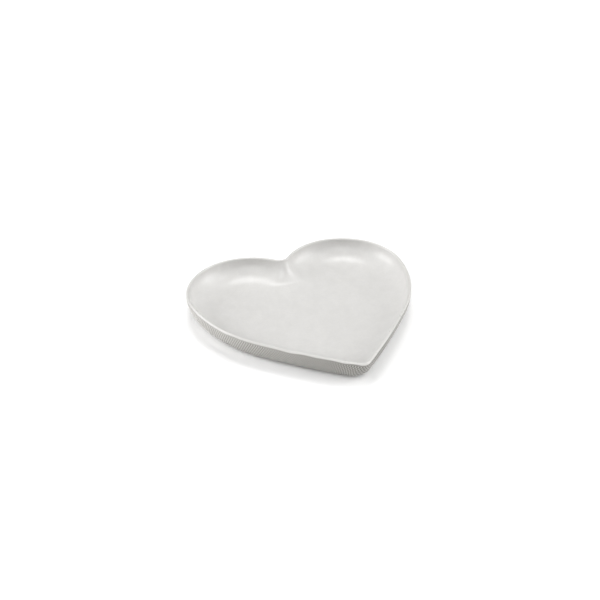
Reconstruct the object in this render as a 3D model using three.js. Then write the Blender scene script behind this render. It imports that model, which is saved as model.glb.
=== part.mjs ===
// An open heart-shaped trinket dish: a moulded tray core with a smooth lining inside it,
// a woven cover round its wall, and a pad under it.
//
// Millimetres, +Z up. The origin is the middle of the footprint's box, on the surface that
// the dish stands on. +Y points to the notch between the lobes and -Y to the tip.
import * as THREE from "three";

// Outline of the rim, measured outside
const WIDTH = 110; // across both lobes
const LENGTH = 103.5; // from the tops of the lobes to the tip
const NOTCH_DEPTH = 10.4; // from the tops of the lobes down to the notch
const NOTCH_RADIUS = 4.4;
const TIP_RADIUS = 4.4;
const SIDE_RADIUS = 330; // the long, almost straight sides
const SHOULDER_START = -4.8; // degrees: direction the outline faces as it leaves the lobe
const SIDE_START = -44; // degrees: direction it faces as the side begins

// Section of the wall
const HEIGHT = 12.1; // from the standing surface to the top of the rim
const RIM_WIDTH = 1.4; // the rim is half round, so this is its diameter
const WALL_LEAN = 5.3; // how far the wall curves in between the rim and the foot
const FOOT_RADIUS = 1.5; // where the wall turns under the dish
const FOOT_TIP_RADIUS = 7.5; // the tip is blunter at the foot than at the rim
const COVE_WIDTH = 15; // the hollow's curved side, from the rim to the flat floor
const COVE_SHAPE = 0.8; // under 1, the side is steeper beside the rim and flatter beside the floor
const FLOOR_TIP_RADIUS = 9;
const NOTCH_RIDGE_LEAN = 4.6; // how far the ridge below the notch leans in on its way down
const NOTCH_RIDGE_FOOT = 4.4; // and how much further its foot spreads into the floor
const FLOOR_THICKNESS = 1.1; // of the core

// Sheets laid on the core
const LINING_THICKNESS = 0.35;
const COVER_THICKNESS = 0.35;
const PAD_THICKNESS = 0.7;
const GLUE_LINE = 0.1; // between any two glued faces
const TURN_UNDER = 6; // width of the cover's edge that is folded under the foot
const SEAM_GAP = 0.12; // where the cover's ends meet, and where it meets the lining
const INFILL_CLEARANCE = 0.4; // round the board that lies inside the folded edge
const PAD_INSET = 2; // the pad stops short of the foot by this

// Steps that each arc is drawn with
const OUTLINE_STEPS = { notch: 4, lobe: 15, shoulder: 5, side: 4, tip: 4 };
const COVE_STEPS = 11;
const WALL_STEPS = 4;
const FOOT_STEPS = 3;
const RIM_STEPS = 6;

// Heights that the pieces share
const NOSE_RADIUS = RIM_WIDTH / 2;
const NOSE_HEIGHT = HEIGHT - NOSE_RADIUS;
const COVER_BASE = PAD_THICKNESS + GLUE_LINE;
const CORE_BASE = COVER_BASE + COVER_THICKNESS + GLUE_LINE;
const FLOOR_HEIGHT = CORE_BASE + FLOOR_THICKNESS + GLUE_LINE + LINING_THICKNESS;

const QUARTER_TURN = Math.PI / 2;
const facing = (angle) => new THREE.Vector2(Math.cos(angle), Math.sin(angle));
const mix = THREE.MathUtils.lerp;

// Centres and radii of the arcs that draw the right half of the rim. Each arc is tangent to the
// next. The lobe's radius follows from the width and the notch, the shoulder's from the length.
function rimArcs() {
  const reach = WIDTH / 2 + NOTCH_RADIUS;
  const lobeToNotch = reach + NOTCH_DEPTH - Math.sqrt(2 * reach * NOTCH_DEPTH);
  const lobeRadius = lobeToNotch - NOTCH_RADIUS;
  const lobe = new THREE.Vector2(WIDTH / 2 - lobeRadius, LENGTH / 2 - lobeRadius);
  const tip = new THREE.Vector2(0, TIP_RADIUS - LENGTH / 2);

  // The side's centre is (from + r * turn), r being the shoulder's radius, and it lies
  // SIDE_RADIUS - TIP_RADIUS away from the tip's centre: a quadratic in r.
  const start = facing(THREE.MathUtils.degToRad(SHOULDER_START));
  const end = facing(THREE.MathUtils.degToRad(SIDE_START));
  const turn = end.clone().sub(start);
  const from = lobe.clone().addScaledVector(start, lobeRadius).addScaledVector(end, -SIDE_RADIUS);
  const toTip = from.clone().sub(tip);
  const half = toTip.dot(turn);
  const rest = toTip.lengthSq() - (SIDE_RADIUS - TIP_RADIUS) ** 2;
  const shoulderRadius = (-half - Math.sqrt(half ** 2 - turn.lengthSq() * rest)) / turn.lengthSq();
  const shoulder = lobe.clone().addScaledVector(start, lobeRadius - shoulderRadius);
  const side = from.addScaledVector(turn, shoulderRadius);
  return { lobe, lobeRadius, shoulder, shoulderRadius, side };
}

const RIM = rimArcs();

// Points along one arc, both ends included.
function arcPoints(centre, radius, from, to, steps) {
  const curve = new THREE.EllipseCurve(centre.x, centre.y, radius, radius, from, to, to < from);
  return curve.getPoints(steps);
}

// The heart that lies `inset` inside the rim, with the station's own radii at tip and notch: right
// half from notch to tip, then its mirror image back up. `crease` is how much tighter the notch is
// than a parallel curve would be, and `seam` is the width of a slit at the notch.
function heartRing({ inset, tip: tipRadius, crease = 0 }, seam = 0) {
  const { lobe, shoulder, side } = RIM;
  const sideRadius = SIDE_RADIUS - inset;
  const tipDrop = Math.sqrt((sideRadius - tipRadius) ** 2 - side.x ** 2);
  const tip = new THREE.Vector2(0, side.y - tipDrop);
  const lobeRadius = RIM.lobeRadius - inset;
  const notchRadius = NOTCH_RADIUS + inset - crease;
  const notchRise = Math.sqrt((lobeRadius + notchRadius) ** 2 - lobe.x ** 2);
  const notch = new THREE.Vector2(0, lobe.y + notchRise);
  const slit = Math.asin(seam / 2 / notchRadius);
  const angles = {
    notch: notch.clone().sub(lobe).negate().angle() - 2 * Math.PI,
    lobe: notch.clone().sub(lobe).angle(),
    shoulder: THREE.MathUtils.degToRad(SHOULDER_START),
    side: THREE.MathUtils.degToRad(SIDE_START),
    tip: tip.clone().sub(side).angle() - 2 * Math.PI,
  };
  const steps = OUTLINE_STEPS;
  const arcs = [
    arcPoints(notch, notchRadius, slit - QUARTER_TURN, angles.notch, steps.notch),
    arcPoints(lobe, lobeRadius, angles.lobe, angles.shoulder, steps.lobe),
    arcPoints(shoulder, RIM.shoulderRadius - inset, angles.shoulder, angles.side, steps.shoulder),
    arcPoints(side, sideRadius, angles.side, angles.tip, steps.side),
    arcPoints(tip, tipRadius, angles.tip, -QUARTER_TURN, steps.tip),
  ];
  const right = arcs.flatMap((arc, i) => (i ? arc.slice(1) : arc));
  const left = right.map((p) => new THREE.Vector2(-p.x, p.y)).reverse().slice(1);
  return seam ? [...right, ...left] : [...right, ...left.slice(0, -1)];
}

// Sections are lists of stations: inset from the rim, height, and the heart's tip radius and crease
// there.

// Outside of the wall from `top` down round the foot, `depth` beneath the cover's face.
function wallStations(depth, top = NOSE_HEIGHT) {
  const drop = NOSE_HEIGHT - COVER_BASE;
  const wallRadius = (drop ** 2 + WALL_LEAN ** 2) / (2 * WALL_LEAN);
  const footAngle = Math.asin((drop - FOOT_RADIUS) / (wallRadius - FOOT_RADIUS));
  const footInset = wallRadius - (wallRadius - FOOT_RADIUS) * Math.cos(footAngle);
  const station = (inset, z) => {
    const sunk = Math.min((NOSE_HEIGHT - z) / drop, 1);
    return { inset, z, tip: mix(TIP_RADIUS, FOOT_TIP_RADIUS, sunk) - depth };
  };
  const radius = wallRadius - depth;
  const topAngle = Math.asin((NOSE_HEIGHT - top) / radius);
  const stations = [];
  for (let i = 0; i <= WALL_STEPS; i++) {
    const a = mix(topAngle, footAngle, i / WALL_STEPS);
    stations.push(station(wallRadius - radius * Math.cos(a), NOSE_HEIGHT - radius * Math.sin(a)));
  }
  for (let i = 1; i <= FOOT_STEPS; i++) {
    const a = mix(footAngle, QUARTER_TURN, i / FOOT_STEPS);
    const r = FOOT_RADIUS - depth;
    stations.push(station(footInset - r * Math.cos(a), COVER_BASE + FOOT_RADIUS - r * Math.sin(a)));
  }
  return stations;
}

// Radius of the notch on the lining's face, from the inset there and the place of the ridge that
// stands below the notch. The arc passes through the ridge and touches both lobes.
function ridgeRadius(inset, sunk, across) {
  const rimReach = RIM.lobeRadius - RIM_WIDTH;
  const rimNotch = NOTCH_RADIUS + RIM_WIDTH;
  const rimRidge = Math.sqrt((rimReach + rimNotch) ** 2 - RIM.lobe.x ** 2) - rimNotch;
  const ridge = rimRidge - NOTCH_RIDGE_LEAN * sunk - NOTCH_RIDGE_FOOT * (1 - across);
  const reach = RIM.lobeRadius - inset;
  return (ridge ** 2 + RIM.lobe.x ** 2 - reach ** 2) / (2 * (reach - ridge));
}

// Side of the hollow from the flat floor up to the rim, `depth` beneath the lining's face: a
// quarter of a flattened ellipse, level where it leaves the floor and upright beside the rim.
function coveStations(depth) {
  const down = NOSE_HEIGHT - FLOOR_HEIGHT + depth;
  const innerTip = TIP_RADIUS - RIM_WIDTH;
  const stations = [];
  for (let i = 0; i <= COVE_STEPS; i++) {
    const a = mix(QUARTER_TURN, 0, i / COVE_STEPS);
    const sunk = Math.sin(a);
    const across = i ? Math.cos(a) ** COVE_SHAPE : 0;
    const faceInset = RIM_WIDTH + COVE_WIDTH * (1 - across);
    stations.push({
      inset: faceInset - depth * across,
      z: NOSE_HEIGHT - down * sunk,
      tip: mix(innerTip, FLOOR_TIP_RADIUS, sunk) + depth,
      crease: NOTCH_RADIUS + faceInset - ridgeRadius(faceInset, sunk, across),
    });
  }
  return stations;
}

// The half-round rim, from the inside over the top to the outside, without its two ends.
function rimStations(depth) {
  const radius = NOSE_RADIUS - depth;
  const stations = [];
  for (let i = 1; i < RIM_STEPS; i++) {
    const a = (Math.PI * i) / RIM_STEPS;
    const inset = NOSE_RADIUS + radius * Math.cos(a);
    stations.push({ inset, z: NOSE_HEIGHT + radius * Math.sin(a), tip: TIP_RADIUS - inset });
  }
  return stations;
}

// The end of the lining's turned edge, level with the middle of the rim.
const liningEdge = (depth) => ({ inset: depth, z: NOSE_HEIGHT, tip: TIP_RADIUS - depth });

// A closed skin over a grid of points: rings[i][j] is point j of ring i. Rings that close on
// themselves are capped at the first and last; open rings form a loop, capped at their ends.
function skin(rings, openRings = false) {
  const rows = rings.length;
  const columns = rings[0].length;
  const index = (i, j) => (i % rows) * columns + (j % columns);
  const faces = [];
  for (let i = 0; i < (openRings ? rows : rows - 1); i++) {
    for (let j = 0; j < (openRings ? columns - 1 : columns); j++) {
      faces.push(index(i, j), index(i, j + 1), index(i + 1, j + 1));
      faces.push(index(i, j), index(i + 1, j + 1), index(i + 1, j));
    }
  }
  const cap = (indices, flat, turned) => {
    for (const [a, b, c] of THREE.ShapeUtils.triangulateShape(flat, [])) {
      faces.push(indices[a], indices[turned ? c : b], indices[turned ? b : c]);
    }
  };
  const plan = (ring) => ring.map((p) => new THREE.Vector2(p.x, p.y));
  if (openRings) {
    const section = rings.map((ring) => new THREE.Vector2(ring[0].y, ring[0].z));
    cap(rings.map((_, i) => index(i, 0)), section, true);
    cap(rings.map((_, i) => index(i, columns - 1)), section, false);
  } else {
    cap(rings[0].map((_, j) => index(0, j)), plan(rings[0]), false);
    cap(rings[0].map((_, j) => index(rows - 1, j)), plan(rings[rows - 1]), true);
  }
  const geometry = new THREE.BufferGeometry().setFromPoints(rings.flat());
  geometry.setIndex(faces);
  geometry.computeVertexNormals();
  return geometry;
}

// Rings of points round the heart, one for each station of a section.
function sectionRings(stations, seam = 0) {
  return stations.map((station) =>
    heartRing(station, seam).map((p) => new THREE.Vector3(p.x, p.y, station.z)),
  );
}

// Smooth sheet over the floor and sides of the hollow, and over the rim to its outer edge.
function liningGeometry() {
  const faceSide = coveStations(0);
  const glueSide = coveStations(LINING_THICKNESS).reverse();
  return skin(
    sectionRings([
      ...faceSide,
      ...rimStations(0),
      liningEdge(0),
      liningEdge(LINING_THICKNESS),
      ...rimStations(LINING_THICKNESS).reverse(),
      ...glueSide,
    ]),
  );
}

// Rigid tray that the sheets are glued to.
function coreGeometry() {
  const underLining = LINING_THICKNESS + GLUE_LINE;
  const underCover = COVER_THICKNESS + GLUE_LINE;
  return skin(
    sectionRings([
      ...coveStations(underLining),
      ...rimStations(underLining),
      ...wallStations(underCover),
    ]),
  );
}

// Woven strip round the wall: it starts below the lining's edge, folds under the foot, and its
// two ends meet at the notch.
function coverGeometry() {
  const top = NOSE_HEIGHT - SEAM_GAP;
  const outside = wallStations(0, top);
  const inside = wallStations(COVER_THICKNESS, top);
  const foldEnd = (z) => ({
    inset: WALL_LEAN + TURN_UNDER,
    z,
    tip: FOOT_TIP_RADIUS - TURN_UNDER,
  });
  const fold = [foldEnd(COVER_BASE), foldEnd(COVER_BASE + COVER_THICKNESS)];
  return skin(sectionRings([...outside, ...fold, ...inside.reverse()], SEAM_GAP), true);
}

// A flat heart cut from sheet, `inset` inside the foot.
function sheetGeometry(inset, thickness) {
  const tip = Math.max(FOOT_TIP_RADIUS - inset, TIP_RADIUS);
  const shape = new THREE.Shape(heartRing({ inset: WALL_LEAN + inset, tip }));
  return new THREE.ExtrudeGeometry(shape, { depth: thickness, bevelEnabled: false });
}

function addPiece(name, geometry, height, colour, roughness) {
  const material = new THREE.MeshStandardMaterial({ color: colour, roughness, metalness: 0 });
  const mesh = new THREE.Mesh(geometry, material);
  mesh.name = name;
  mesh.position.z = height;
  dish.add(mesh);
}

const dish = new THREE.Group();
const infillInset = TURN_UNDER + INFILL_CLEARANCE;
addPiece("inner_lining", liningGeometry(), 0, 0xe9e7e2, 0.5);
addPiece("tray_core", coreGeometry(), 0, 0xcfc8ba, 0.8);
addPiece("outer_cover", coverGeometry(), 0, 0xbebbb5, 0.85);
addPiece("base_infill", sheetGeometry(infillInset, COVER_THICKNESS), COVER_BASE, 0xa89a82, 0.9);
addPiece("base_pad", sheetGeometry(PAD_INSET, PAD_THICKNESS), 0, 0x9b9892, 0.95);

export default dish;
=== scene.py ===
# %% [markdown]
# # A heart-shaped trinket dish
#
# A shallow open heart, 110 mm across and 12 mm high, that holds rings and earrings. A stiff moulded
# core gives it its shape. A smooth satin sheet lines the hollow and rolls over the rim, a woven cloth
# covers the outside, and a felt pad closes the underside. Everything is sheet goods glued to a core,
# so each piece here is one surface with a real thickness, worked out from the same heart outline.
#
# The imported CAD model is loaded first. It gives the frame and the size, and it is never moved.

# %% Load the CAD frame
import math

import bpy
import numpy as np
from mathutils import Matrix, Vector


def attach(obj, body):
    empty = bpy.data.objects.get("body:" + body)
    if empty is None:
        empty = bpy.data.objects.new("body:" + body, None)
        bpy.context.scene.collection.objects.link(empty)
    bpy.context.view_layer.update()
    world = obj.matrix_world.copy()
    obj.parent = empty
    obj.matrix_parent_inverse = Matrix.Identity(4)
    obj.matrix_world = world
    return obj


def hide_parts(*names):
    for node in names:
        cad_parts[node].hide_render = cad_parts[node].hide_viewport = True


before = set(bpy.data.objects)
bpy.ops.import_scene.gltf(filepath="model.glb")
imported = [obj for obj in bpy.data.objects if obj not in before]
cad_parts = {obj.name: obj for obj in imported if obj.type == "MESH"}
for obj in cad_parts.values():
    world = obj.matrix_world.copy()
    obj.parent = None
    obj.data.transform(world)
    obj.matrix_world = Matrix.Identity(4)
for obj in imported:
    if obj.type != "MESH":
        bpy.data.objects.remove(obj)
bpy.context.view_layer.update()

MM = 0.001

# %% [markdown]
# ## The camera
#
# The dish is seen from 34 degrees above the table, turned 23 degrees to the left, so that its tip
# points down and to the right. A 54 mm lens from 44 cm away makes the near side only a little larger
# than the far side. The camera comes before any shape, because every later choice is judged through it.

# %% Camera
camera_data = bpy.data.cameras.new("camera")
camera_data.lens = 54
camera_data.sensor_width = 36
camera_data.clip_start = 0.01
camera_data.clip_end = 20
camera = bpy.data.objects.new("camera", camera_data)
bpy.context.scene.collection.objects.link(camera)
camera.location = Vector((-144.20, -317.75, 245.72)) * MM
looked_at = Vector((0.78, 20.65, 0.0)) * MM
camera.rotation_euler = (looked_at - camera.location).to_track_quat("-Z", "Y").to_euler()
bpy.context.scene.camera = camera
print("camera distance, mm:", round((looked_at - camera.location).length / MM))

# %% [markdown]
# ## Measures
#
# All lengths are in millimetres until a mesh is made. They are the CAD model's own measures, so a
# surface made from them lands exactly on the CAD one. The outline's width and length are the heart's
# at the rim. `WALL_LEAN` is how far the foot stands in from the rim.

# %% Measures of the heart and of its section
WIDTH = 110.0
LENGTH = 103.5
NOTCH_DEPTH = 10.4
NOTCH_RADIUS = 4.4
TIP_RADIUS = 4.4
SIDE_RADIUS = 330.0
SHOULDER_START = math.radians(-4.8)
SIDE_START = math.radians(-44.0)

HEIGHT = 12.1
RIM_WIDTH = 1.4
WALL_LEAN = 5.3
FOOT_RADIUS = 1.5
FOOT_TIP_RADIUS = 7.5
COVE_WIDTH = 15.0
COVE_SHAPE = 0.8
FLOOR_TIP_RADIUS = 9.0
NOTCH_RIDGE_LEAN = 4.6
NOTCH_RIDGE_FOOT = 4.4
FLOOR_HEIGHT = 2.8
COVER_BASE = 0.8
LINING_THICKNESS = 0.35
COVER_THICKNESS = 0.35
PAD_THICKNESS = 0.7
PAD_INSET = 2.0
TURN_UNDER = 6.0
SEAM_GAP = 0.12

NOSE_RADIUS = RIM_WIDTH / 2
NOSE_HEIGHT = HEIGHT - NOSE_RADIUS
WALL_DROP = NOSE_HEIGHT - COVER_BASE
print("the rim's roll is centred", NOSE_HEIGHT, "mm up, and the wall drops", WALL_DROP, "mm")

# %% [markdown]
# ## The heart outline
#
# A pattern maker draws a heart with a compass. Half of it is five arcs that touch without a corner:
# a small hollow arc in the notch, the round lobe, a flatter shoulder, an almost straight side and a
# small arc at the tip. The other half is its mirror image. Compass arcs are worth keeping in a
# computer, because a parallel outline, further in or out, only needs other radii about the same
# centres. A sheet of even thickness that follows the heart is then exact everywhere.


# %% Centres and radii of the rim's arcs
def toward(angle):
    """The point at an angle on a circle of radius 1."""
    return np.stack([np.cos(angle), np.sin(angle)], axis=-1)


reach = WIDTH / 2 + NOTCH_RADIUS
LOBE_RADIUS = reach + NOTCH_DEPTH - math.sqrt(2 * reach * NOTCH_DEPTH) - NOTCH_RADIUS
LOBE = np.array([WIDTH / 2 - LOBE_RADIUS, LENGTH / 2 - LOBE_RADIUS])
TIP = np.array([0.0, TIP_RADIUS - LENGTH / 2])

# The shoulder's radius is the one whose side arc, 330 mm in radius, still touches the tip's circle:
# the root of a quadratic in that radius.
turn = toward(SIDE_START) - toward(SHOULDER_START)
side_from = LOBE + LOBE_RADIUS * toward(SHOULDER_START) - SIDE_RADIUS * toward(SIDE_START)
half_term = (side_from - TIP) @ turn
last_term = (side_from - TIP) @ (side_from - TIP) - (SIDE_RADIUS - TIP_RADIUS) ** 2
SHOULDER_RADIUS = (-half_term - math.sqrt(half_term**2 - turn @ turn * last_term)) / (turn @ turn)
SHOULDER = LOBE + (LOBE_RADIUS - SHOULDER_RADIUS) * toward(SHOULDER_START)
SIDE = side_from + SHOULDER_RADIUS * turn
print("lobe radius", round(LOBE_RADIUS, 2), "mm, shoulder radius", round(SHOULDER_RADIUS, 2), "mm")


# %% [markdown]
# A parallel outline keeps the lobe's, the shoulder's and the side's centres and changes their radii.
# Only the notch's and the tip's centres slide along the middle line, to where their circles touch
# the next ones. The points are then spread evenly along the rim, so that every ring has the same
# columns and two rings can be joined without a twist.

# %% Arcs of any parallel outline
def heart_arcs(inset, tip_radius, crease, seam):
    """Centre, radius, first and last angle of the right half's five arcs, for every ring at once.

    Going inwards by the inset makes the outer arcs smaller by it and the notch arc larger by it. The
    crease makes the notch arc sharper again. Two circles touch where the distance of their centres is
    the sum or the difference of their radii, which gives the height of the notch's and the tip's
    centres. The seam is the width of a slit left open at the notch.
    """
    notch_radius = NOTCH_RADIUS + inset - crease
    lobe_radius = LOBE_RADIUS - inset
    shoulder_radius = SHOULDER_RADIUS - inset
    side_radius = SIDE_RADIUS - inset
    zero = np.zeros_like(inset)
    notch_y = LOBE[1] + np.sqrt((lobe_radius + notch_radius) ** 2 - LOBE[0] ** 2)
    tip_y = SIDE[1] - np.sqrt((side_radius - tip_radius) ** 2 - SIDE[0] ** 2)
    centre_x = np.stack([zero, zero + LOBE[0], zero + SHOULDER[0], zero + SIDE[0], zero], axis=1)
    centre_y = np.stack([notch_y, zero + LOBE[1], zero + SHOULDER[1], zero + SIDE[1], tip_y], axis=1)
    radius = np.stack([notch_radius, lobe_radius, shoulder_radius, side_radius, tip_radius], axis=1)
    notch_end = np.arctan2(LOBE[1] - notch_y, LOBE[0])
    side_end = np.arctan2(tip_y - SIDE[1], -SIDE[0])
    first = [np.arcsin(seam / 2 / notch_radius) - np.pi / 2, notch_end + np.pi,
             zero + SHOULDER_START, zero + SIDE_START, side_end]
    last = [notch_end, zero + SHOULDER_START, zero + SIDE_START, side_end, zero - np.pi / 2]
    return centre_x, centre_y, radius, np.stack(first, axis=1), np.stack(last, axis=1)


def outline_steps(count):
    """Splits the rim's half outline into even lengths: each point's arc, its share of it, its length.

    Even steps keep threads and ripples the same size round the whole heart.
    """
    rim = np.zeros(1)
    _, _, radius, first, last = heart_arcs(rim, rim + TIP_RADIUS, rim, 0.0)
    lengths = (radius * np.abs(last - first))[0]
    ends = np.cumsum(lengths)
    along = np.linspace(0.0, ends[-1], count)
    arc = np.minimum(np.searchsorted(ends, along), 4)
    share = (along - (ends - lengths)[arc]) / lengths[arc]
    return arc, np.clip(share, 0.0, 1.0), along


def heart_rings(stations, count, seam=0.0):
    """One ring of points for each station (inset, height, tip radius, crease), notch to notch.

    A point is its arc's centre plus the radius at its own share of the arc's turn. The left half
    mirrors the right one, in reverse. A seam keeps the ring open at the notch. The second result is
    each column's length along the rim, clockwise from the notch.
    """
    inset, height, tip_radius, crease = stations.T
    centre_x, centre_y, radius, first, last = heart_arcs(inset, tip_radius, crease, seam)
    arc, share, along = outline_steps(count)
    angle = first[:, arc] + (last - first)[:, arc] * share
    x = centre_x[:, arc] + radius[:, arc] * np.cos(angle)
    y = centre_y[:, arc] + radius[:, arc] * np.sin(angle)
    back = slice(-2, None, -1) if seam else slice(-2, 0, -1)
    ring_x = np.concatenate([x, -x[:, back]], axis=1)
    ring_y = np.concatenate([y, y[:, back]], axis=1)
    ring_along = np.concatenate([along, 2 * along[-1] - along[back]])
    ring_z = np.broadcast_to(height[:, None], ring_x.shape)
    return np.stack([ring_x, ring_y, ring_z], axis=2), ring_along


PERIMETER = 2 * outline_steps(9)[2][-1]
print("the rim is", round(PERIMETER, 1), "mm round")

# %% [markdown]
# ## The section
#
# Cut across, the dish is a wall that stands upright under the rim and curves in to its foot, a half
# round rim, and a cove: a side that is steep below the rim and runs out ever more gently into the
# flat floor. Each curve is given as a list of stations: how far in from the outline, how high, how
# round the heart's tip is there, and how sharp its notch. A depth moves a curve into the material,
# which makes a sheet's other face.


# %% Stations of the wall, the rim and the cove
def stations_of(inset, height, tip_radius, crease=0.0):
    """Packs four lists, some of them single numbers, as rows of one table."""
    return np.stack(np.broadcast_arrays(inset, height, tip_radius, crease), axis=1).astype(float)


def wall(count, depth=0.0, top=NOSE_HEIGHT):
    """Arc of one radius, upright at the rim's height, then the small arc of the foot, by even lengths.

    The big radius is the one whose arc drops by WALL_DROP while it leans in by WALL_LEAN.
    """
    big = (WALL_DROP**2 + WALL_LEAN**2) / (2 * WALL_LEAN)
    foot_angle = math.asin((WALL_DROP - FOOT_RADIUS) / (big - FOOT_RADIUS))
    foot_inset = big - (big - FOOT_RADIUS) * math.cos(foot_angle)
    start = math.asin((NOSE_HEIGHT - top) / (big - depth))
    arc_length = (big - depth) * (foot_angle - start)
    foot_length = (FOOT_RADIUS - depth) * (math.pi / 2 - foot_angle)
    along = np.linspace(0.0, arc_length + foot_length, count)
    in_arc = along < arc_length
    angle = np.where(in_arc, start + along / (big - depth),
                     foot_angle + (along - arc_length) / (FOOT_RADIUS - depth))
    radius = np.where(in_arc, big, FOOT_RADIUS) - depth
    inset = np.where(in_arc, big, foot_inset) - radius * np.cos(angle)
    height = np.where(in_arc, NOSE_HEIGHT, COVER_BASE + FOOT_RADIUS) - radius * np.sin(angle)
    lowness = np.clip((NOSE_HEIGHT - height) / WALL_DROP, 0.0, 1.0)
    tip_radius = TIP_RADIUS + (FOOT_TIP_RADIUS - TIP_RADIUS) * lowness - depth
    return stations_of(inset, height, tip_radius)


def rim(count, depth=0.0):
    """Half circle over the rim's middle, from its inner edge to its outer edge."""
    angle = np.linspace(0.0, np.pi, count)
    inset = NOSE_RADIUS + (NOSE_RADIUS - depth) * np.cos(angle)
    height = NOSE_HEIGHT + (NOSE_RADIUS - depth) * np.sin(angle)
    return stations_of(inset, height, TIP_RADIUS - inset)


def ridge_radius(inset, low, across):
    """Radius of the notch arc that touches both lobes and passes through the ridge below the notch.

    The ridge leans in evenly on its way down and spreads at its foot. The radius follows from
    Pythagoras, in the triangle of the notch's centre, the lobe's centre and the middle line.
    """
    rim_notch = NOTCH_RADIUS + RIM_WIDTH
    rim_reach = LOBE_RADIUS - RIM_WIDTH
    rim_ridge = math.sqrt((rim_reach + rim_notch) ** 2 - LOBE[0] ** 2) - rim_notch
    ridge = rim_ridge - NOTCH_RIDGE_LEAN * low - NOTCH_RIDGE_FOOT * (1 - across)
    lobe_reach = LOBE_RADIUS - inset
    return (ridge**2 + LOBE[0] ** 2 - lobe_reach**2) / (2 * (lobe_reach - ridge))


def cove(count, depth=0.0):
    """Quarter of a flattened ellipse, from the floor up to the rim's inner edge.

    The height falls with a sine, and the way in grows with a cosine raised to a power under 1, which
    keeps the side steep beside the rim. It blends the roundness of both tip and notch.
    """
    angle = np.linspace(np.pi / 2, 0.0, count)
    low = np.sin(angle)
    across = np.maximum(np.cos(angle), 0.0) ** COVE_SHAPE
    across[0] = 0.0
    face_inset = RIM_WIDTH + COVE_WIDTH * (1 - across)
    height = NOSE_HEIGHT - (NOSE_HEIGHT - FLOOR_HEIGHT + depth) * low
    rim_tip = TIP_RADIUS - RIM_WIDTH
    tip_radius = rim_tip + (FLOOR_TIP_RADIUS - rim_tip) * low + depth
    crease = NOTCH_RADIUS + face_inset - ridge_radius(face_inset, low, across)
    return stations_of(face_inset - depth * across, height, tip_radius, crease)


print("the wall leans in to", round(wall(3)[-1][0], 2), "mm, and the cove ends at", cove(3)[0][1])

# %% [markdown]
# ## What the hand leaves
#
# A dish like this is lined and trimmed by hand. Its rim isn't quite level, and the line where the
# lining is cut off, just under the rim, wanders by a quarter of a millimetre. A pressed sheet is also
# never dead flat. These are slow waves over the exact surface. They are sums of smooth bumps and of
# sines with fixed seeds, so the dish is the same at every run.


# %% Waves along the rim and over the floor
def bumps(along, places):
    """Sum of bell curves along the rim. Each place is (where, how high, how long), all in mm."""
    where, high, long = np.array(places).T
    gap = (along[..., None] - where + PERIMETER / 2) % PERIMETER - PERIMETER / 2
    return (high * np.exp(-((gap / long) ** 2))).sum(axis=-1)


def ripple(along, seed, waves, height):
    """Sum of whole numbers of sine waves round the rim, weaker as they get shorter."""
    chance = np.random.default_rng(seed)
    turns = np.arange(3, 3 + waves)
    size = chance.normal(size=waves) / turns**0.5
    phase = chance.uniform(0, 2 * np.pi, waves)
    total = (size * np.sin(2 * np.pi * turns * along[..., None] / PERIMETER + phase)).sum(axis=-1)
    return height * total / np.abs(total).max()


TRIM_PLACES = [(204.3, -0.30, 3.2), (197.5, 0.26, 4.0), (186.0, 0.18, 3.5), (179.7, -0.20, 2.2),
               (174.6, 0.26, 2.6), (170.4, -0.14, 2.0), (166.0, -0.16, 4.0), (237.0, -0.26, 4.0),
               (231.0, 0.16, 3.5), (146.0, -0.18, 4.0)]


FLOOR_WAVE_HEIGHT = 0.05


def trim_wave(along):
    """How far the lining's cut edge stands above or below its level line."""
    return bumps(along, TRIM_PLACES) + ripple(along, 5, 40, 0.07)


def rim_lift(along):
    """How far the top of the rim stands above its level. It never falls to the core beneath it."""
    lift = 0.5 * bumps(along, TRIM_PLACES) + ripple(along, 8, 26, 0.07) + 0.10
    return np.clip(lift, -0.05, 0.33)


def seeded_waves(x, y, seed, length):
    """One sine wave for each length in mm, each in its own seeded direction and phase."""
    chance = np.random.default_rng(seed)
    angle = chance.uniform(0, 2 * np.pi, len(length))
    phase = chance.uniform(0, 2 * np.pi, len(length))
    distance = x[..., None] * np.cos(angle) + y[..., None] * np.sin(angle)
    return np.sin(2 * np.pi * distance / length + phase)


def floor_wave(x, y):
    """Sum of waves 9 to 40 mm long, stronger as they get longer, brought to 0.05 mm at its highest."""
    length = np.geomspace(9.0, 40.0, 14)
    total = (length**0.7 * seeded_waves(x, y, 3, length)).sum(axis=-1)
    return FLOOR_WAVE_HEIGHT * total / np.abs(total).max()


round_the_rim = np.linspace(0, PERIMETER, 400)
print("trim wave, mm:", np.round([trim_wave(round_the_rim).min(), trim_wave(round_the_rim).max()], 2))

# %% [markdown]
# ## From a grid to a piece
#
# Every piece is a grid of points: rows are stations, columns run round the heart. Neighbours are
# joined by four-sided faces. A ring closes its columns, a folded strip closes its rows, and a sheet
# that covers the middle ends in one point, its pole. Rows always run from the top, over the outside,
# to the underside, so that all faces turn the same way. The volume is measured afterwards, because a
# closed surface has a positive volume only if its faces point outwards.


# %% Grid helpers
def grid_faces(rows, columns, rows_close, columns_close):
    """Four-sided faces between each point, the next in its row, and the same two a row further."""
    row = np.arange(rows if rows_close else rows - 1)[:, None]
    column = np.arange(columns if columns_close else columns - 1)[None, :]
    here = row * columns + column
    beside = row * columns + (column + 1) % columns
    below = (row + 1) % rows * columns + column
    across = (row + 1) % rows * columns + (column + 1) % columns
    return np.stack([here, beside, across, below], axis=-1).reshape(-1, 4)


def pole_faces(row, columns, pole, flip):
    """Triangles from one closed row to a pole."""
    here = row * columns + np.arange(columns)
    beside = row * columns + (np.arange(columns) + 1) % columns
    order = [beside, here] if flip else [here, beside]
    return np.stack(order + [np.full(columns, pole)], axis=-1)


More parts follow.
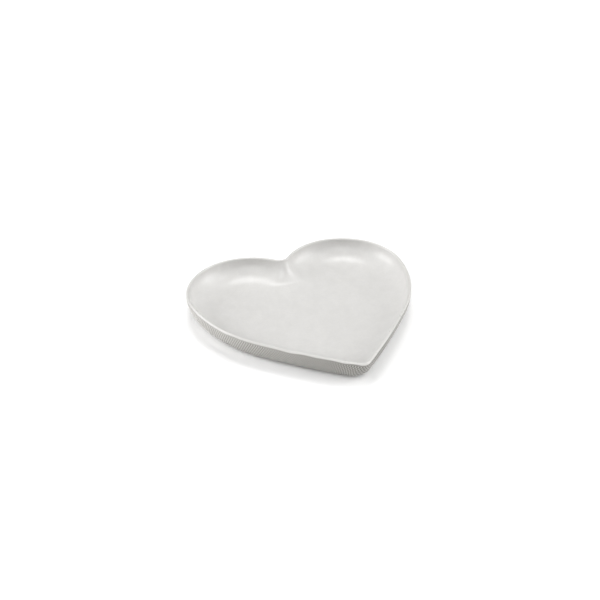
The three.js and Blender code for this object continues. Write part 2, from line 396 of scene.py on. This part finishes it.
def make_piece(name, points, faces, corner=75.0):
    """Makes the mesh object in metres, smooth but for edges sharper than the corner angle."""
    mesh = bpy.data.meshes.new(name)
    mesh.from_pydata(points * MM, [], faces)
    mesh.shade_smooth()
    mesh.set_sharp_from_angle(angle=math.radians(corner))
    mesh.update()
    piece = bpy.data.objects.new(name, mesh)
    bpy.context.scene.collection.objects.link(piece)
    mesh.calc_loop_triangles()
    triangles = np.empty(len(mesh.loop_triangles) * 3, dtype=np.int32)
    mesh.loop_triangles.foreach_get("vertices", triangles)
    a, b, c = points[triangles.reshape(-1, 3)].transpose(1, 0, 2)
    volume = np.einsum("ij,ij->", a, np.cross(b, c)) / 6
    print(name, "-", len(a), "triangles,", round(volume), "mm3")
    if volume < 0:
        raise ValueError(name + " is inside out")
    return piece


def put_values(piece, name, values):
    """Stores one number for each point, for a material to read as an attribute."""
    layer = piece.data.attributes.new(name, "FLOAT", "POINT")
    layer.data.foreach_set("value", np.ascontiguousarray(values, dtype=np.float32).ravel())


def outward(grid):
    """Unit normals of a grid of points: the cross product of its two directions of travel."""
    down = np.gradient(grid, axis=0)
    along = np.gradient(grid, axis=1)
    normal = np.cross(along, down)
    return normal / np.linalg.norm(normal, axis=2, keepdims=True)


# %% [markdown]
# ## The pressed lining
#
# The lining is one satin-faced sheet, pressed while warm into the hollow, rolled over the rim and
# trimmed under its outer edge. It could be a plane with Solidify, but the notch and the tip would
# crumple it. Here it is swept instead: from the pole in the middle of the floor out to the cove, over
# the rim to the cut edge, then back underneath at the sheet's thickness. The floor's waves move only
# the upper face, so the underside keeps its glue line to the core. An attribute marks the rim: hands
# rub the satin smoother there, and its outer edge is painted greyer, a painted shade.


# %% Pressed lining
MIDDLE = (0.0, 4.0)
FLOOR_ROWS = 34
COVE_ROWS = 30
RIM_ROWS = 15
UNDER_RIM_ROWS = 7
UNDER_COVE_ROWS = 14
LINING_COLUMNS = 401
EDGE_ROWS = 7
CUT_ROWS = 4


def lining_grid(count):
    """Rows from the floor's middle to its edge, up the cove, over the rim, and back underneath."""
    top = np.concatenate([cove(COVE_ROWS)[:-1], rim(RIM_ROWS)])
    rim_under = rim(UNDER_RIM_ROWS, LINING_THICKNESS)[::-1]
    cove_under = cove(UNDER_COVE_ROWS, LINING_THICKNESS)[::-1]
    under = np.concatenate([rim_under, cove_under[1:]])
    rings, along = heart_rings(np.concatenate([top, under]), count)
    middle = np.array([*MIDDLE, FLOOR_HEIGHT])
    share = (np.arange(1, FLOOR_ROWS) / FLOOR_ROWS)[:, None, None]
    floor = middle + share * (rings[:1] - middle)
    return np.concatenate([floor, rings]), along, len(floor) + len(top)


grid, along, top_rows = lining_grid(LINING_COLUMNS)
height = grid[:, :, 2]
rimward = np.clip((height - FLOOR_HEIGHT) / (HEIGHT - FLOOR_HEIGHT), 0, 1)
outer_edge = np.zeros(grid.shape[:2])
outer_edge[top_rows - EDGE_ROWS:top_rows] = np.linspace(0, 1, EDGE_ROWS)[:, None] ** 1.5
outer_edge[top_rows:top_rows + CUT_ROWS] = np.linspace(1, 0, CUT_ROWS)[:, None]
is_top = (np.arange(len(grid)) < top_rows)[:, None]
lift = rim_lift(along) * rimward**4 * (1 - outer_edge) + trim_wave(along) * outer_edge
lift = lift + np.where(is_top, floor_wave(grid[..., 0], grid[..., 1]) * (1 - rimward), 0.0)
grid[:, :, 2] = height + lift

columns = grid.shape[1]
poles = np.array([[*MIDDLE, FLOOR_HEIGHT], [*MIDDLE, FLOOR_HEIGHT - LINING_THICKNESS]])
poles[0, 2] += floor_wave(poles[:1, 0], poles[:1, 1])[0]
points = np.concatenate([grid.reshape(-1, 3), poles])
faces = grid_faces(len(grid), columns, False, True).tolist()
faces += pole_faces(0, columns, len(points) - 2, True).tolist()
faces += pole_faces(len(grid) - 1, columns, len(points) - 1, False).tolist()
pressed_lining = make_piece("pressed_lining", points, faces, corner=50.0)
# Rim mask, strongest at the outer edge: smoother satin there, and a painted shade that greys it.
rim_rub_and_edge_shade_mask = rimward**10 * (0.4 + 0.6 * outer_edge)
put_values(pressed_lining, "rim_rub_and_edge_shade", np.append(rim_rub_and_edge_shade_mask, [0.0, 0.0]))
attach(pressed_lining, "root")
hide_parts("inner_lining")

# %% [markdown]
# ## The woven cover
#
# The cover is a strip of plain-woven cloth. It starts under the lining's cut edge, goes down the wall
# and is turned under the foot, and its two ends meet in a butt seam at the notch. In a plain weave
# each upright thread passes over one cross thread and under the next, and its neighbour does the
# opposite, so the raised places stand like the dark squares of a chessboard. That is a cosine along
# the wall times a cosine down the wall. The cross threads are the thicker ones, as in a ribbed cloth.
# The relief is real geometry, because it must break the light at the foot's edge. The real upright
# threads are 0.5 mm apart, too fine to show when the whole dish is in view, so they are drawn 0.58 mm
# apart and with more contrast.

# %% Thread spacing and the weave's relief
UPRIGHT_SPACING = 0.58
CROSS_SPACING = 0.98
RELIEF = 0.12

# The face is bare for the first part of a millimetre below the trim, then the relief fades in.
TRIM_BARE = 0.15
TRIM_FADE = 0.6
PRESSED_FLAT = 0.7
TRIM_REACH = 3.0
print("relief", RELIEF, "mm high, on threads", UPRIGHT_SPACING, "and", CROSS_SPACING, "mm apart")


def weave(along, down):
    """Height of the cloth, from -1 between the threads to 1 on them: one cosine times another."""
    return np.cos(np.pi * along / UPRIGHT_SPACING) * np.cos(np.pi * down / CROSS_SPACING)


def slack(along, down):
    """Slow drift of two fixed sine waves that keeps the threads from standing in perfect rows, up to 0.1 mm.
    """
    return 0.06 * np.sin(along / 5.3 + 0.4 * down) + 0.04 * np.sin(along / 1.9 - down / 1.3)


# %% [markdown]
# The strip itself is one closed band of stations: down the outside, in under the foot, back at the
# cloth's thickness and up the inside. Each point of its face is pushed out along its own normal by
# the weave's height. The relief fades out at the trimmed edge, and lies flatter under the foot, where
# the pad presses on it.

# %% Woven cover
WALL_ROWS = 37
FOLD_ROWS = 6
INNER_ROWS = 5
CLOTH_COLUMNS = 1022
LOBE_COLUMN = 200
outer = wall(WALL_ROWS, top=NOSE_HEIGHT - SEAM_GAP)
fold = [WALL_LEAN + TURN_UNDER, 0.0, FOOT_TIP_RADIUS - TURN_UNDER, 0.0]
steps = np.linspace(0, 1, FOLD_ROWS)[1:, None]
under = outer[-1] + steps * (np.array(fold) - outer[-1])
under[:, 1] = COVER_BASE
inner = wall(INNER_ROWS, depth=COVER_THICKNESS, top=NOSE_HEIGHT - SEAM_GAP)[::-1]
fold_back = under[-1:] + [0.0, COVER_THICKNESS, 0.0, 0.0]
stations = np.concatenate([outer, under, fold_back, inner])
grid, along = heart_rings(stations, CLOTH_COLUMNS, seam=SEAM_GAP)
front_rows = len(outer) + len(under)

front = grid[:front_rows]
profile = np.linalg.norm(np.diff(front[:, LOBE_COLUMN], axis=0), axis=1)
down = np.concatenate([[0.0], np.cumsum(profile)])[:, None]
tall = weave(along[None, :] + slack(along[None, :], down), down + 0.4 * slack(down, along[None, :]))
from_top = np.clip((down - TRIM_BARE) / TRIM_FADE, 0, 1)
underneath = np.clip(down - down[WALL_ROWS - 1], 0, 1)
relief = RELIEF * tall * from_top * (1 - PRESSED_FLAT * underneath)
grid[:front_rows] = front + relief[:, :, None] * outward(front)
top_share = np.clip((grid[:, :, 2] - NOSE_HEIGHT + TRIM_REACH) / TRIM_REACH, 0, 1) ** 2
grid[:, :, 2] += trim_wave(along) * top_share

columns = grid.shape[1]
rows = len(grid)
points = grid.reshape(-1, 3)
faces = grid_faces(rows, columns, True, False).tolist()
faces.append((np.arange(rows) * columns).tolist())
faces.append((np.arange(rows)[::-1] * columns + columns - 1).tolist())
woven_cover = make_piece("woven_cover", points, faces)
# Crown height of the weave, which the cloth's material turns into painted light and painted shade.
crown = np.zeros((rows, columns))
crown[:front_rows] = tall * from_top
put_values(woven_cover, "thread_crown", crown)
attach(woven_cover, "root")
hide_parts("outer_cover")

# %% [markdown]
# A pattern that follows cloth needs the cloth's own measures. The cover's UV map holds the length
# along the wall and the length down it, both in millimetres, so a material can draw a thread at its
# true width anywhere on the heart.

# %% The cover's own map
down_all = np.concatenate([down[:, 0], down[-1] + np.linspace(0.3, 14.0, rows - front_rows)])
uv_points = np.stack(np.broadcast_arrays(along[None, :], down_all[:, None]), axis=2).reshape(-1, 2)
loops = np.empty(len(woven_cover.data.loops), dtype=np.int32)
woven_cover.data.loops.foreach_get("vertex_index", loops)
cloth_map = woven_cover.data.uv_layers.new(name="cloth_mm")
cloth_map.data.foreach_set("uv", uv_points[loops].astype(np.float32).ravel())
print("cloth:", round(PERIMETER), "mm long,", round(float(down[-1, 0]), 1), "mm from edge to edge")

# %% [markdown]
# ## The felt pad
#
# Pressed felt is die-cut, so its edge is square but soft, and its face is never quite flat. The pad
# is a flat heart swept from a pole on top, round a soft edge, to a pole underneath. A fine seeded
# unevenness of a few hundredths of a millimetre roughens it. It only goes upwards underneath, so that
# the dish still stands on a level table.


# %% Felt pad
def felt_fuzz(x, y, seed):
    """A half plus the mean of 16 waves, 1.1 to 5 mm long. It is clipped to 0 to 1 where it is used."""
    return 0.5 + seeded_waves(x, y, seed, np.geomspace(1.1, 5.0, 16)).mean(axis=-1)


SOFT_EDGE = 0.2
FUZZ_HEIGHT = 0.05
PAD_ROWS = 70
PAD_COLUMNS = 301
turn_angle = np.linspace(np.pi / 2, -np.pi / 2, 9)
edge_inset = WALL_LEAN + PAD_INSET + SOFT_EDGE * (1 - np.cos(turn_angle))
edge_height = PAD_THICKNESS / 2 + (PAD_THICKNESS / 2) * np.sin(turn_angle)
tip_radius = np.maximum(FOOT_TIP_RADIUS - edge_inset, TIP_RADIUS)
edge, along = heart_rings(stations_of(edge_inset, edge_height, tip_radius), PAD_COLUMNS)
share = (np.arange(1, PAD_ROWS) / PAD_ROWS)[:, None, None]
high_pole = np.array([*MIDDLE, PAD_THICKNESS])
low_pole = np.array([*MIDDLE, 0.0])
upper = high_pole + share[::6] * (edge[:1] - high_pole)
lower = low_pole + share[::-1] * (edge[-1:] - low_pole)
grid = np.concatenate([upper, edge, lower])
fuzz = felt_fuzz(grid[..., 0], grid[..., 1], 21)
underside = np.arange(len(grid)) >= len(grid) - len(lower) - 2
grid[:, :, 2] += FUZZ_HEIGHT * underside[:, None] * np.clip(fuzz, 0, 1)
points = np.concatenate([grid.reshape(-1, 3), [high_pole, low_pole]])
faces = grid_faces(len(grid), grid.shape[1], False, True).tolist()
faces += pole_faces(0, grid.shape[1], len(points) - 2, True).tolist()
faces += pole_faces(len(grid) - 1, grid.shape[1], len(points) - 1, False).tolist()
felt_pad = make_piece("felt_pad", points, faces)
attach(felt_pad, "root")
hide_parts("base_pad")

# %% [markdown]
# ## Colour and nodes
#
# Colours are given as sRGB hex values, and Blender mixes light in linear values, so one
# function converts them. One more function adds a shader node, sets it, and wires it in the same
# call. Noise and ramps are then short lines that read like a recipe.


# %% Colour and node helpers
def linear(hex_colour):
    """sRGB hex to linear: a straight part near black, then the power 2.4."""
    value = np.array([int(hex_colour[i:i + 2], 16) for i in (1, 3, 5)]) / 255
    curve = np.where(value <= 0.04045, value / 12.92, ((value + 0.055) / 1.055) ** 2.4)
    return (*curve.tolist(), 1.0)


def per_mm(size):
    """Pattern scale on Object coordinates, in metres, for features of a size in mm."""
    return 1.0 / (size * MM)


def add(tree, kind, inputs=None, **settings):
    """Adds a node, sets its properties, then gives each input a value or a link."""
    new = tree.nodes.new("ShaderNode" + kind)
    for key, value in settings.items():
        setattr(new, key, value)
    for key, value in (inputs or {}).items():
        if isinstance(value, bpy.types.NodeSocket):
            tree.links.new(value, new.inputs[key])
        else:
            new.inputs[key].default_value = value
    return new


# A Mix node has one pair of inputs for numbers and another, by these places, for colours.
MIX_A = 6
MIX_B = 7
MIX_RESULT = 2


def start_material(name):
    """A new material: its node tree, its surface shader and its Object coordinates."""
    material = bpy.data.materials.new(name)
    material.use_nodes = True
    tree = material.node_tree
    surface = tree.nodes["Principled BSDF"]
    place = add(tree, "TexCoord").outputs["Object"]
    return material, tree, surface, place


# %% [markdown]
# ## Satin bonded leather
#
# Bonded leather is ground leather fibre on a paper backing, coated off-white, rolled smooth and here
# pressed in warm. The coating gives the eye a soft sheen that brightens the cove where it turns to
# the light, and no sharp reflections. Under it the fibres show as faint clouds a few millimetres
# across. The grain itself is about 0.15 mm, too fine to show, so it is drawn at 0.6 mm and kept low.
# Handling rubs the rim slightly smoother. The rim, most of all its outer edge, is also painted a
# little greyer: a painted shade where the rolled edge turns away from the light.

# %% Material of the lining
satin_lining, tree, surface, place = start_material("satin_lining_bonded_leather")
clouds = add(tree, "TexNoise", {"Vector": place, "Scale": per_mm(5.0), "Detail": 4.0, "Roughness": 0.6})
flecks = add(tree, "TexNoise", {"Vector": place, "Scale": per_mm(0.9), "Detail": 3.0, "Roughness": 0.55})
cloud_share = add(tree, "MapRange", {"Value": clouds.outputs["Fac"], "From Min": 0.35, "From Max": 0.65})
fleck_share = add(tree, "MapRange", {"Value": flecks.outputs["Fac"], "From Min": 0.3, "From Max": 0.7})
LINING_PALE = linear("#D0CFCD")
LINING_DARK = linear("#CBCAC8")
LINING_FLECK = linear("#C5C4C1")
base = add(tree, "Mix", {"Factor": cloud_share.outputs["Result"], MIX_A: LINING_PALE, MIX_B: LINING_DARK},
           data_type="RGBA")
fleck_amount = add(tree, "Math", {0: fleck_share.outputs["Result"], 1: 0.35}, operation="MULTIPLY")
clean = add(tree, "Mix", {"Factor": fleck_amount.outputs[0], MIX_A: base.outputs[MIX_RESULT],
                          MIX_B: LINING_FLECK}, data_type="RGBA")
# Painted shade: the rim's outer edge is mixed towards a darker grey; the same mask lowers roughness.
rim_rub_and_shade = add(tree, "Attribute", attribute_name="rim_rub_and_edge_shade")
LINING_EDGE_PAINTED_SHADE = linear("#BDBAB5")
EDGE_PAINTED_SHADE_SHARE = 0.55
edge_painted_shade = add(tree, "Math", {0: rim_rub_and_shade.outputs["Fac"], 1: EDGE_PAINTED_SHADE_SHARE}, operation="MULTIPLY")
colour = add(tree, "Mix", {"Factor": edge_painted_shade.outputs[0], MIX_A: clean.outputs[MIX_RESULT],
                           MIX_B: LINING_EDGE_PAINTED_SHADE}, data_type="RGBA")
ROUGH_FLOOR = 0.28
ROUGH_RIM = 0.25
ROUGH_CLOUDS = 0.06
satin = add(tree, "MapRange", {"Value": rim_rub_and_shade.outputs["Fac"], "To Min": ROUGH_FLOOR, "To Max": ROUGH_RIM})
uneven = add(tree, "Math", {0: cloud_share.outputs["Result"], 1: ROUGH_CLOUDS, 2: satin.outputs["Result"]},
             operation="MULTIPLY_ADD")
grain = add(tree, "TexNoise", {"Vector": place, "Scale": per_mm(0.6), "Detail": 2.0})
dimple = add(tree, "Bump", {"Height": grain.outputs["Fac"], "Strength": 0.25, "Distance": 0.05 * MM})
tree.links.new(colour.outputs[MIX_RESULT], surface.inputs["Base Color"])
tree.links.new(uneven.outputs[0], surface.inputs["Roughness"])
tree.links.new(dimple.outputs["Normal"], surface.inputs["Normal"])
surface.inputs["IOR"].default_value = 1.48
pressed_lining.data.materials.append(satin_lining)
print("lining roughness from", ROUGH_RIM, "on the rim to", ROUGH_FLOOR + ROUGH_CLOUDS, "on the floor")

# %% [markdown]
# ## Plain-woven cloth
#
# The cover is undyed mercerised cotton, woven tight. To the eye it is a matt warm grey with a fine
# chessboard. Its pale thread crowns and dark gaps are painted light and painted shade over the real
# relief, read from its height. Each thread is also a bundle of fibres about 0.02 mm thick,
# drawn here as streaks ten times as coarse, long in the thread's own direction. The cloth is painted
# darker towards the tip: a painted shade where the wall turns away from the strong left light.

# %% Material of the cover
ribbed_cotton, tree, surface, place = start_material("ribbed_cotton_plain_weave")
crown_height = add(tree, "Attribute", attribute_name="thread_crown")
on_cloth = add(tree, "UVMap", uv_map="cloth_mm")
streak_scale = add(tree, "Mapping", {"Vector": on_cloth.outputs["UV"], "Scale": (5.0, 1.2, 1.0)})
streaks = add(tree, "TexNoise", {"Vector": streak_scale.outputs["Vector"], "Scale": 1.0, "Detail": 3.0})
slub_scale = add(tree, "Mapping", {"Vector": on_cloth.outputs["UV"], "Scale": (0.09, 1.05, 1.0)})
slubs = add(tree, "TexNoise", {"Vector": slub_scale.outputs["Vector"], "Scale": 1.0, "Detail": 2.0})
# Painted light and shade: thread crowns are mixed pale and the gaps between them dark.
crown_light_and_shade_share = add(tree, "MapRange", {"Value": crown_height.outputs["Fac"], "From Min": -0.8,
                                     "From Max": 0.8})
THREAD_GAP_PAINTED_SHADE = linear("#7A7874")
THREAD_CROWN_PAINTED_LIGHT = linear("#DBD9D5")
THREAD_SLUB = linear("#A9A7A2")
weave_light_and_shade_colour = add(tree, "Mix", {"Factor": crown_light_and_shade_share.outputs["Result"], MIX_A: THREAD_GAP_PAINTED_SHADE,
                                 MIX_B: THREAD_CROWN_PAINTED_LIGHT}, data_type="RGBA")
slub_share = add(tree, "MapRange", {"Value": slubs.outputs["Fac"], "From Min": 0.45, "From Max": 0.75,
                                    "To Max": 0.4})
colour = add(tree, "Mix", {"Factor": slub_share.outputs["Result"], MIX_A: weave_light_and_shade_colour.outputs[MIX_RESULT],
                           MIX_B: THREAD_SLUB}, data_type="RGBA")
# Painted shade: the cloth is multiplied darker towards the tip, along the dish's Y.
TIP_SHADE_START = 15 * MM
TIP_SHADE_FULL = -45 * MM
along_dish = add(tree, "SeparateXYZ", {"Vector": place})
tip_painted_shade = add(tree, "MapRange", {"Value": along_dish.outputs["Y"], "From Min": TIP_SHADE_START,
                                 "From Max": TIP_SHADE_FULL, "To Max": 0.7})
THREAD_TIP_PAINTED_SHADE = linear("#B2B2B0")
colour = add(tree, "Mix", {"Factor": tip_painted_shade.outputs["Result"], MIX_A: colour.outputs[MIX_RESULT],
                           MIX_B: THREAD_TIP_PAINTED_SHADE}, data_type="RGBA", blend_type="MULTIPLY")
fibre = add(tree, "Bump", {"Height": streaks.outputs["Fac"], "Strength": 0.4, "Distance": 0.05 * MM})
matt = add(tree, "MapRange", {"Value": streaks.outputs["Fac"], "To Min": 0.72, "To Max": 0.92})
tree.links.new(colour.outputs[MIX_RESULT], surface.inputs["Base Color"])
tree.links.new(matt.outputs["Result"], surface.inputs["Roughness"])
tree.links.new(fibre.outputs["Normal"], surface.inputs["Normal"])
surface.inputs["IOR"].default_value = 1.46
surface.inputs["Sheen Weight"].default_value = 0.08
surface.inputs["Sheen Roughness"].default_value = 0.5
woven_cover.data.materials.append(ribbed_cotton)
print("threads every", UPRIGHT_SPACING, "mm along and", CROSS_SPACING, "mm down the wall")

# %% [markdown]
# ## Pressed wool felt
#
# Felt has no threads. Its fibres are matted together, so the eye sees soft flecks of lighter and
# darker grey and no shine, only a faint glow at the edges where loose fibres stand up. Two noises
# make it: one for tufts of about 1.5 mm, and a stretched one for single fibres, drawn coarse.

# %% Material of the pad
wool_felt, tree, surface, place = start_material("grey_wool_felt_pressed")
tufts = add(tree, "TexNoise", {"Vector": place, "Scale": per_mm(1.5), "Detail": 6.0, "Roughness": 0.7})
strand_place = add(tree, "Mapping", {"Vector": place, "Rotation": (0.0, 0.0, 0.6), "Scale": (1.0, 4.0, 1.0)})
strands = add(tree, "TexNoise", {"Vector": strand_place.outputs["Vector"], "Scale": per_mm(1.2),
                                 "Detail": 4.0, "Distortion": 2.0})
both = add(tree, "Math", {0: tufts.outputs["Fac"], 1: strands.outputs["Fac"]}, operation="ADD")
felt_share = add(tree, "MapRange", {"Value": both.outputs[0], "From Min": 0.75, "From Max": 1.25})
FELT_DARK = linear("#7F7C77")
FELT_PALE = linear("#A9A6A0")
colour = add(tree, "Mix", {"Factor": felt_share.outputs["Result"], MIX_A: FELT_DARK, MIX_B: FELT_PALE},
             data_type="RGBA")
nap = add(tree, "Bump", {"Height": both.outputs[0], "Strength": 0.6, "Distance": 0.15 * MM})
tree.links.new(colour.outputs[MIX_RESULT], surface.inputs["Base Color"])
tree.links.new(nap.outputs["Normal"], surface.inputs["Normal"])
surface.inputs["Roughness"].default_value = 0.95
surface.inputs["IOR"].default_value = 1.5
surface.inputs["Sheen Weight"].default_value = 0.35
surface.inputs["Sheen Roughness"].default_value = 0.6
felt_pad.data.materials.append(wool_felt)
print(felt_pad.name, "is", wool_felt.name)

# %% [markdown]
# ## Moulded pulp board and grey board
#
# Two pieces are glued out of sight. The core is moulded from wet paper pulp, pale and flecked with
# stray fibres. The infill under it is grey board, which is rolled from waste paper and so is darker
# and more speckled. Both are dead matt. The CAD solids have the right shape, so they stay and only
# get their materials.


# %% Materials of the two boards
def board(name, pale, dark, speck_size, speck_share):
    """Matt paper board: soft clouds between two shades, with specks where a cell noise is highest."""
    material, tree, surface, place = start_material(name)
    pulp = add(tree, "TexNoise", {"Vector": place, "Scale": per_mm(3.0), "Detail": 5.0, "Roughness": 0.65})
    cells = add(tree, "TexVoronoi", {"Vector": place, "Scale": per_mm(speck_size), "Randomness": 1.0})
    speck = add(tree, "MapRange", {"Value": cells.outputs["Distance"], "From Min": 0.0,
                                   "From Max": speck_share, "To Min": 0.7, "To Max": 0.0})
    shade = add(tree, "Mix", {"Factor": pulp.outputs["Fac"], MIX_A: linear(pale), MIX_B: linear(dark)},
                data_type="RGBA")
    specked = add(tree, "Mix", {"Factor": speck.outputs["Result"], MIX_A: shade.outputs[MIX_RESULT],
                                MIX_B: linear("#6E675B")}, data_type="RGBA")
    tooth = add(tree, "Bump", {"Height": pulp.outputs["Fac"], "Strength": 0.4, "Distance": 0.1 * MM})
    tree.links.new(specked.outputs[MIX_RESULT], surface.inputs["Base Color"])
    tree.links.new(tooth.outputs["Normal"], surface.inputs["Normal"])
    surface.inputs["Roughness"].default_value = 0.9
    surface.inputs["IOR"].default_value = 1.5
    return material


boards = {
    "tray_core": board("moulded_paper_pulp", "#DDD8CC", "#C9C3B4", 1.6, 0.16),
    "base_infill": board("rolled_grey_board", "#B3AA9A", "#968D7C", 0.9, 0.22),
}
for node_name, board_material in boards.items():
    for material_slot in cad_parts[node_name].material_slots:
        material_slot.material = board_material
    print(node_name, "is", board_material.name)

# %% [markdown]
# ## Table and light
#
# The dish stands on a seamless white sheet, far larger than the view, so that its edge never shows.
# It lies a few hundredths of a millimetre below the pad, because two faces at one height flicker.

# %% Table
TABLE_REACH = 4.0
TABLE_HEIGHT = -0.03 * MM
corners = [(-TABLE_REACH, -TABLE_REACH, TABLE_HEIGHT), (TABLE_REACH, -TABLE_REACH, TABLE_HEIGHT),
           (TABLE_REACH, TABLE_REACH, TABLE_HEIGHT), (-TABLE_REACH, TABLE_REACH, TABLE_HEIGHT)]
table_mesh = bpy.data.meshes.new("table")
table_mesh.from_pydata(corners, [], [(0, 1, 2, 3)])
table = bpy.data.objects.new("table", table_mesh)
bpy.context.scene.collection.objects.link(table)
white_sheet, tree, surface, place = start_material("white_paper_sheet")
surface.inputs["Base Color"].default_value = linear("#FBFBFB")
surface.inputs["Roughness"].default_value = 0.9
surface.inputs["Specular IOR Level"].default_value = 0.2
table_mesh.materials.append(white_sheet)
print("the table is", 2 * TABLE_REACH, "m square")

# %% [markdown]
# ## A light tent
#
# The tent's left, right and near walls glow, and three lamps hang higher: one behind the dish, with a
# smaller angle, and one to each side. The one behind draws the bright line where the cove runs out
# into the floor. The strong left wall brings out the cloth, and the others keep its shadows soft. Sun
# lamps with a wide angle act like tent walls and don't fall off across the table.

# %% Lights
bpy.context.scene.view_settings.view_transform = "Standard"
world = bpy.data.worlds.new("white_room")
world.use_nodes = True
bpy.context.scene.world = world
room = world.node_tree.nodes["Background"]
room.inputs["Color"].default_value = linear("#FFFFFF")
seen = add(world.node_tree, "LightPath").outputs["Is Camera Ray"]
# The tent's far wall is plain white to the eye, but gives only a little light of its own.
ROOM_LIGHT = 0.04
room_strength = add(world.node_tree, "MapRange", {"Value": seen, "To Min": ROOM_LIGHT, "To Max": 1.0})
world.node_tree.links.new(room_strength.outputs["Result"], room.inputs["Strength"])

# Each lamp: name, turn round the table from +X, height above it, both in degrees, width, strength.
LAMPS = [
    ("left_wall", 156.8, 20.0, 40.0, 2.00),
    ("near_wall", 246.8, 45.0, 40.0, 1.20),
    ("near_left_wall", 201.8, 25.0, 40.0, 0.20),
    ("right_wall", 336.8, 20.0, 40.0, 1.50),
    ("overhead", 66.8, 70.0, 24.0, 1.00),
    ("left_overhead", 156.8, 50.0, 40.0, 0.48),
    ("right_overhead", 336.8, 50.0, 40.0, 0.80),
]
for name, turned, raised, width, strength in LAMPS:
    lamp_data = bpy.data.lights.new(name, "SUN")
    lamp_data.angle = math.radians(width)
    lamp_data.energy = strength
    lamp = bpy.data.objects.new(name, lamp_data)
    bpy.context.scene.collection.objects.link(lamp)
    flat = math.cos(math.radians(raised))
    comes_from = Vector((math.cos(math.radians(turned)) * flat, math.sin(math.radians(turned)) * flat,
                         math.sin(math.radians(raised))))
    lamp.rotation_euler = comes_from.to_track_quat("Z", "Y").to_euler()
    print(name, "lights from", [round(value, 2) for value in comes_from])
